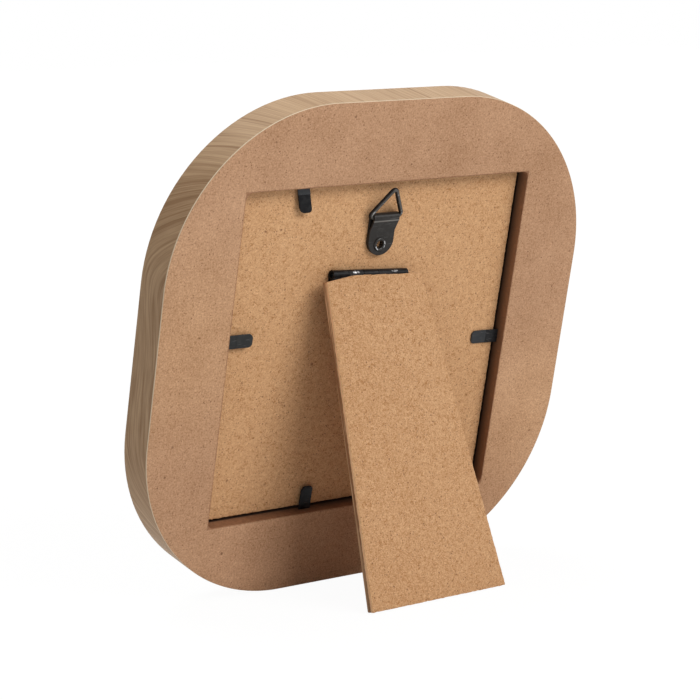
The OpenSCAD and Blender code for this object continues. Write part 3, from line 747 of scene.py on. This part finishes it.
# Steel strip: a flat section with round edges carried along a path in the plane of the tab's second
# and third axes. The width follows the path, and the strip leans by a turn. Both ends close in a point.
def stripGrid(path, widths, lean):
    path = np.asarray(path, float)
    ahead = np.gradient(path, axis=0)
    ahead = ahead / np.linalg.norm(ahead, axis=1, keepdims=True)
    up = np.stack([-ahead[:, 1], ahead[:, 0]], -1)
    corner = np.radians(np.linspace(0, 90, 5))
    half, edge = tab["thick"] / 2, tab["round"]
    sides, inward, lift = [], [], []
    for side, top, order in ((1, 1, 1), (-1, 1, -1), (-1, -1, 1), (1, -1, -1)):
        sides.append(np.full(len(corner), side))
        inward.append((np.cos(corner)[::order] - 1) * side)
        lift.append(top * (half - edge + edge * np.sin(corner)[::order]))
    sides, inward, lift = np.concatenate(sides), np.concatenate(inward), np.concatenate(lift)
    x = sides * widths[:, None] / 2 + inward * edge
    x = x / math.cos(lean) - path[:, 0, None] * math.tan(lean)
    raised = path[:, None] + up[:, None] * lift[:, None]
    grid = np.concatenate([x[..., None], raised], -1)
    ends = [row.mean(axis=1, keepdims=True).repeat(grid.shape[1], axis=1) for row in (grid[:1], grid[-1:])]
    return np.concatenate([ends[0], grid, ends[1]])


# A leaf as its own piece: its path falls evenly to the tip with a slight crown, and its width narrows
# round the tip as a quarter circle. The root's grid is given back: straight in the wall, then bent up.
def makeTab(name):
    shape = tabShapes[name]
    across = unit(joints[name + "_bend"]["axis"])
    turn = np.column_stack([across, np.cross(outward, across), outward])
    start = joints[name + "_bend"]["pos_m"]
    slope, lean = math.tan(math.radians(shape["slope"])), math.radians(shape["turn"])
    tipDrop = tab["thick"] + shape["tipLift"] - tab["rise"] - shape["root"] * slope
    narrow = tab["leaf"] - tab["tip"]
    station = np.concatenate([np.linspace(tab["gap"], narrow, 14),
                              narrow + tab["tip"] * np.sin(np.radians(np.linspace(8, 88, 12)))])
    share = station / tab["leaf"]
    height = tipDrop * share - tab["crown"] * np.sin(math.pi * share) - tab["thick"] / 2
    past = np.clip(station - narrow, 0, tab["tip"])
    widths = tab["wide"] - 2 * (tab["tip"] - np.sqrt(np.maximum(tab["tip"] ** 2 - past ** 2, 0)))
    leaf = stripGrid(np.stack([station, height], -1), widths, lean)
    leaf = gridPiece(name + "_leaf", [toRow(leaf, turn, start)], sharp=50)
    look = steelMaterial(name + "Steel", steelLook[shape["coat"]], tab["smooth"], shine=shape["shine"])
    settle(leaf, name, look, name)
    wall, foot = -shape["root"], -shape["root"] * slope
    bend = np.array([wall - tab["bendFrom"], foot]), np.array([-tab["rootGap"], 0.0])
    path = np.vstack([[(wall - tab["drive"], foot), (wall - tab["straight"], foot)], np.linspace(*bend, 9)])
    path = path - np.array([0, tab["thick"] / 2])
    return toRow(stripGrid(path, np.full(len(path), tab["wide"]), lean), turn, start)


rootPaint = {"left": (55 * mm, 58 * mm), "top": (145 * mm, 148 * mm)}


# Painted sheen on the roots: the left tab's root is painted like its leaf and the top one's lighter than its leaf
def rootSheen(tree, own):
    x, y, z = threeAxes(tree, own)
    left, top = rise(tree, x, *rootPaint["left"]), rise(tree, z, *rootPaint["top"])
    return mix(tree, top, mix(tree, left, steelLook["black"], steelLook["grey"]), steelLook["bluish"])


def makeTabs():
    roots = gridPiece("tab_strips", [makeTab(name) for name in tabShapes], sharp=50)
    look = steelMaterial("tabRootSteel", rootSheen, tab["rootSmooth"], shine=tab["rootShine"])
    settle(roots, "root", look, "tab_roots")


# The ring's axes start at its pivot and lean with it; ringUpright is its pivot in the frame's axes
ring = {"wire": 1.7 * mm, "height": 13.3 * mm, "half": 7.93 * mm, "bend": (1.5 * mm, 1.5 * mm, 1.1 * mm),
        "sheenFrom": 0.62, "sheenShare": 0.55, "wearAndSheenFrom": 0.72, "wearAndSheen": 0.42, "smooth": 0.2, "shine": 0.14}
ringJoint = joints["hanger_ring_swing"]
ringPlace = np.array(ringJoint["pos_m"])
ringUpright = (ringPlace - uprightStart) @ uprightTurn
ringTurn = uprightTurn @ np.array(Matrix.Rotation(math.radians(ringJoint["range_deg"][0]), 3, "X"))


# Painted sheen: the wire's coat is painted lighter on its crest, away from the board
def wireSheen(tree, own):
    crest = faceShare(tree, outward, ring["sheenFrom"], 1.0)
    return mix(tree, times(tree, crest, ring["sheenShare"]), steelLook["brown"], steelLook["sheenGrey"])


# Triangle of wire with bent corners
def makeRing():
    corners = [(-ring["half"], 0), (ring["half"], 0), (0, ring["height"])]
    points, outs = roundedOutline(corners, ring["bend"], 0.25 * mm)
    grid = toRow(tubeGrid(points, outs, ring["wire"] / 2), ringTurn, ringPlace)
    made = gridPiece("ring_wire", [grid], closeColumns=True, sharp=60)
    # Painted highlight on the wire's crest, with its wear
    wearAndSheen = crestWearAndSheen(ring["wearAndSheen"], ring["wearAndSheenFrom"])
    look = steelMaterial("ringSteel", wireSheen, ring["smooth"], wearAndSheen, ring["shine"])
    settle(made, "hanger_ring", look, "hanger_ring")


eyelet = {"drop": 10.6 * mm, "left": 0.5 * mm, "rim": 5.4 * mm, "hole": 2.8 * mm, "wall": 0.4 * mm,
          "strap": 1.6 * mm, "in": 1.9 * mm, "lip": 0.2 * mm, "wearAndSheenFrom": 0.86, "wearAndSheen": 0.72, "smooth": 0.26,
          "shine": 0.3}


# Rolled eyelet: half a round roll on the strap, with its tube going down into the board
def makeEyelet():
    e = eyelet
    hole, rim = e["hole"] / 2, e["rim"] / 2
    roll = (rim - hole) / 2
    angle = np.radians(np.linspace(0, 180, 17))
    profile = [(hole + e["wall"], -e["in"]), (hole + e["wall"], e["strap"]), (rim, e["strap"])]
    profile += list(zip(rim - roll + roll * np.cos(angle), e["strap"] + roll * np.sin(angle)))
    profile += [(hole, e["strap"] - e["lip"]), (hole, -e["in"])]
    place = toRow((ringUpright[0] + e["left"], -back["depth"], ringUpright[2] - e["drop"]))
    made = gridPiece("eyelet", [toRow(turnedGrid(profile), start=place)], closeColumns=True, sharp=50)
    # Painted highlight on the eyelet's rolled rim, with its wear
    wearAndSheen = crestWearAndSheen(e["wearAndSheen"], e["wearAndSheenFrom"])
    look = steelMaterial("eyeletSteel", steelLook["gunmetal"], e["smooth"], wearAndSheen, e["shine"])
    settle(made, "root", look, "hanger_eyelet")


easing = {"merge": 1e-6, "flat": 1.0, "segments": 2, "angle": 32}


# A copy of a CAD node with its edges eased: merged, flat faces joined, then a small bevel
def easedCopy(name, node, width):
    made = nodes[node].copy()
    made.data = nodes[node].data.copy()
    made.name = name
    for key in list(made.keys()):
        del made[key]
    made.parent = None
    made.matrix_world = Matrix.Identity(4)
    bpy.context.scene.collection.objects.link(made)
    work = bmesh.new()
    work.from_mesh(made.data)
    bmesh.ops.remove_doubles(work, verts=work.verts, dist=easing["merge"])
    bmesh.ops.dissolve_limit(work, angle_limit=math.radians(easing["flat"]), verts=work.verts,
                             edges=work.edges)
    work.to_mesh(made.data)
    work.free()
    sharp = math.radians(easing["angle"])
    made.data.shade_smooth()
    made.data.set_sharp_from_angle(angle=sharp)
    bevel = made.modifiers.new("ease", "BEVEL")
    bevel.width = width
    bevel.segments = easing["segments"]
    bevel.limit_method = "ANGLE"
    bevel.angle_limit = sharp
    bevel.harden_normals = True
    return made


strap = {"ease": 0.14 * mm, "smooth": 0.36, "shine": 0.22, "over": 0.8 * mm,
         "sheenFrom": 0.5 * mm, "sheenTo": 0.3 * mm, "below": 1.0 * mm, "lineBand": (0.1 * mm, 0.45 * mm)}


# Painted highlight: the strap's coat is painted lighter where it bends over the ring's wire, farthest from the
# board
def loopSheen(tree, own):
    outermost = ringUpright[1] + ring["wire"] / 2 + strap["over"]
    x, y, z = threeAxes(tree, own)
    crest = rise(tree, y, outermost - strap["sheenFrom"], outermost - strap["sheenTo"])
    off = calc(tree, "ABSOLUTE", less(tree, z, ringUpright[2] - strap["below"]))
    line = times(tree, crest, fall(tree, off, *strap["lineBand"]))
    return mix(tree, line, steelLook["gunmetal"], steelLook["sheenGrey"])


hinge = {"ease": 0.12 * mm, "smooth": 0.36, "shine": 0.15, "spots": ((7.0, 1.2, 1.3), (-11.2, 1.2, 1.3)),
         "spotSize": (2.2, 0.75, 0.75), "spotBand": (0.45, 0.9), "spotMost": 0.52, "spotUneven": 1.8,
         "fleckBand": (0.56, 0.7), "fleckMost": 0.16}


# Painted glints on the hinge's barrel: two bare spots, each an ellipsoid round its place along the pin, and small
# bright flecks
def barrelGlints(tree, own):
    spots = 0.0
    for place in hinge["spots"]:
        off = vectorMath(tree, "SUBTRACT", own, tuple(p * mm for p in place))
        off = stretched(tree, off, tuple(1 / (size * mm) for size in hinge["spotSize"]))
        far = less(tree, vectorMath(tree, "LENGTH", off, output="Value"), hinge["spotUneven"] / 2)
        far = timesPlus(tree, noise(tree, own, 1300, 2), hinge["spotUneven"], far)
        spots = larger(tree, spots, fall(tree, far, *hinge["spotBand"]))
    flecks = times(tree, rise(tree, noise(tree, own, 1700, 2), *hinge["fleckBand"]), hinge["fleckMost"])
    return larger(tree, flecks, times(tree, spots, hinge["spotMost"]))


def makeStrapAndHinge():
    look = steelMaterial("hangerSteel", loopSheen, strap["smooth"], shine=strap["shine"])
    made = easedCopy("hanger_strap", "hanger_plate", strap["ease"])
    settle(made, "root", look, "hanger_plate")
    look = steelMaterial("hingeSteel", steelLook["black"], hinge["smooth"], barrelGlints, hinge["shine"],
                         hingeTurn, pinPlace)
    for name, replaced, rides in (("hinge_leaf_board", "hinge_board_leaf", "root"),
                                  ("hinge_leaf_strut", "hinge_strut_leaf", "strut")):
        settle(easedCopy(name, replaced, hinge["ease"]), rides, look, replaced)


makeTabs()
makeRing()
makeEyelet()
makeStrapAndHinge()
plainSteel = steelMaterial("plainSteel", steelLook["plain"], smooth=0.35, bareShare=0.6)
for name in ("hinge_pin", "hinge_board_rivets", "strut_nails"):
    dress(name, plainSteel)
print("hardware made")

foilLook = {"pale": (0.57, 0.385, 0.225), "dark": (0.29, 0.168, 0.084), "pore": (0.15, 0.085, 0.04),
            "core": 28.7 * mm, "depth": 16 * mm, "stretch": 0.42}


# The foil's grain runs up the display face and on over the rounded edge: the depth behind that face is
# added along the direction in which the outline looks. As the foil was drawn down over the sides, only a
# share of that depth counts.
def foilMaterial():
    made, tree, shader = newMaterial("oakFoil", {"Specular IOR Level": 0.18})
    core = foilLook["core"]
    centred = vectorMath(tree, "ADD", ownAxes(tree), (0, foilLook["depth"], -middleUp))
    depth = times(tree, threeAxes(tree, centred)[1], foilLook["stretch"])
    flat = stretched(tree, centred, (1, 0, 1))
    over = vectorMath(tree, "SUBTRACT", vectorMath(tree, "ABSOLUTE", flat), (core, 0, core))
    over = vectorMath(tree, "MAXIMUM", over, (0, 0, 0))
    out = vectorMath(tree, "NORMALIZE", stretched(tree, over, vectorMath(tree, "SIGN", flat)))
    carried = node(tree, "VectorMath", {0: out, "Scale": depth}, operation="SCALE").outputs[0]
    x, y, z = threeAxes(tree, vectorMath(tree, "ADD", flat, carried))
    oak = useGroup(tree, oakFoil, {"Vector": joined(tree, x, z, 0.0), "Pale": foilLook["pale"],
                                   "Dark": foilLook["dark"], "Pore": foilLook["pore"]})
    paint(tree, shader, oak["Color"], oak["Roughness"], oak["Height"], strength=0.3, depth=0.05 * mm)
    return made


glassLook = {"Base Color": (0.93, 0.97, 0.96), "Roughness": 0.01, "IOR": 1.5, "Transmission Weight": 1.0}
cardLook = {"white": (0.82, 0.81, 0.78), "shade": (0.74, 0.72, 0.68), "kraft": (0.45, 0.34, 0.23),
            "fibreShare": 0.5, "cloudShare": 0.6}


# Card insert: white paper face towards the glass, grey kraft back
def cardMaterial():
    made, tree, shader = newMaterial("card", {"Roughness": 0.85, "Specular IOR Level": 0.2})
    own = ownAxes(tree)
    fibre = noise(tree, own, 1600, 4, 0.65)
    cloud = noise(tree, own, 120, 3)
    white = mix(tree, times(tree, fibre, cardLook["fibreShare"]), cardLook["white"], cardLook["shade"])
    kraft = mix(tree, times(tree, cloud, cardLook["cloudShare"]), cardLook["kraft"], cardLook["shade"])
    color = mix(tree, rise(tree, facing(tree, -outward), 0.2, 0.6), kraft, white)
    paint(tree, shader, color, None, fibre, strength=0.2, depth=0.04 * mm)
    return made


dress("oak_foil", foilMaterial())
dress("glass_pane", newMaterial("clearGlass", glassLook)[0])
dress("photo_insert", cardMaterial())
print("surfaces finished")

# The floor looks white from near to far, and its glow gives way a little under the object for the shadow
floor = {"half": 3.0, "down": 0.2 * mm, "glow": 1.03, "share": 0.93, "near": 0.25, "far": 0.75,
         "finish": {"Base Color": (0.9, 0.9, 0.9), "Roughness": 0.9, "Specular IOR Level": 0.1}}
lights = {"key": {"from": (-0.84, 2.38, 1.64), "wide": 2.3, "high": 1.5, "power": 58.5,
                  "warmth": (1.0, 0.985, 0.965)},
          "top": {"from": (0.1, -0.35, 1.35), "wide": 1.0, "high": 1.0, "power": 9.0,
                  "warmth": (1.0, 0.99, 0.975)},
          "aim": (0, 0, 0.09), "ambient": 0.205}


# 1 for what the camera, glossy surfaces and glass see, 0 for the light that falls on the object
def seenShare(tree):
    path = node(tree, "LightPath").outputs
    mirrored = larger(tree, path["Is Glossy Ray"], path["Is Transmission Ray"])
    return larger(tree, path["Is Camera Ray"], mirrored)


def makeFloor():
    half, down = floor["half"], -floor["down"]
    mesh = bpy.data.meshes.new("floor")
    mesh.from_pydata([(-half, -half, down), (half, -half, down), (half, half, down), (-half, half, down)],
                     [], [(0, 1, 2, 3)])
    made = newObject("floor", mesh)
    material, tree, shader = newMaterial("paleFloor", floor["finish"])
    glow = node(tree, "Emission", {"Color": (1, 1, 1), "Strength": floor["glow"]})
    away = distance(tree, node(tree, "TexCoord").outputs["Object"], (0, 0, 0))
    away = rise(tree, away, floor["near"], floor["far"])
    share = timesPlus(tree, away, 1.0 - floor["share"], floor["share"])
    both = node(tree, "MixShader", {0: times(tree, seenShare(tree), share), 1: shader.outputs[0],
                                    2: glow.outputs[0]})
    link(tree, tree.nodes["Material Output"].inputs["Surface"], both.outputs[0])
    mesh.materials.append(material)


def makeLamp(name):
    lamp = lights[name]
    data = bpy.data.lights.new(name, "AREA")
    data.shape = "ELLIPSE"
    data.size = lamp["wide"]
    data.size_y = lamp["high"]
    data.energy = lamp["power"]
    data.color = lamp["warmth"]
    made = newObject(name, data)
    made.location = Vector(lamp["from"])
    made.rotation_euler = (Vector(lights["aim"]) - made.location).to_track_quat("-Z", "Y").to_euler()


def makeWorld():
    world = bpy.data.worlds.new("studio")
    world.use_nodes = True
    bpy.context.scene.world = world
    tree = world.node_tree
    strength = timesPlus(tree, seenShare(tree), 1.0 - lights["ambient"], lights["ambient"])
    link(tree, tree.nodes["Background"].inputs["Color"], (1, 1, 1))
    link(tree, tree.nodes["Background"].inputs["Strength"], strength)
    bpy.context.scene.view_settings.view_transform = "Standard"


makeFloor()
makeLamp("key")
makeLamp("top")
makeWorld()
print("studio lit")
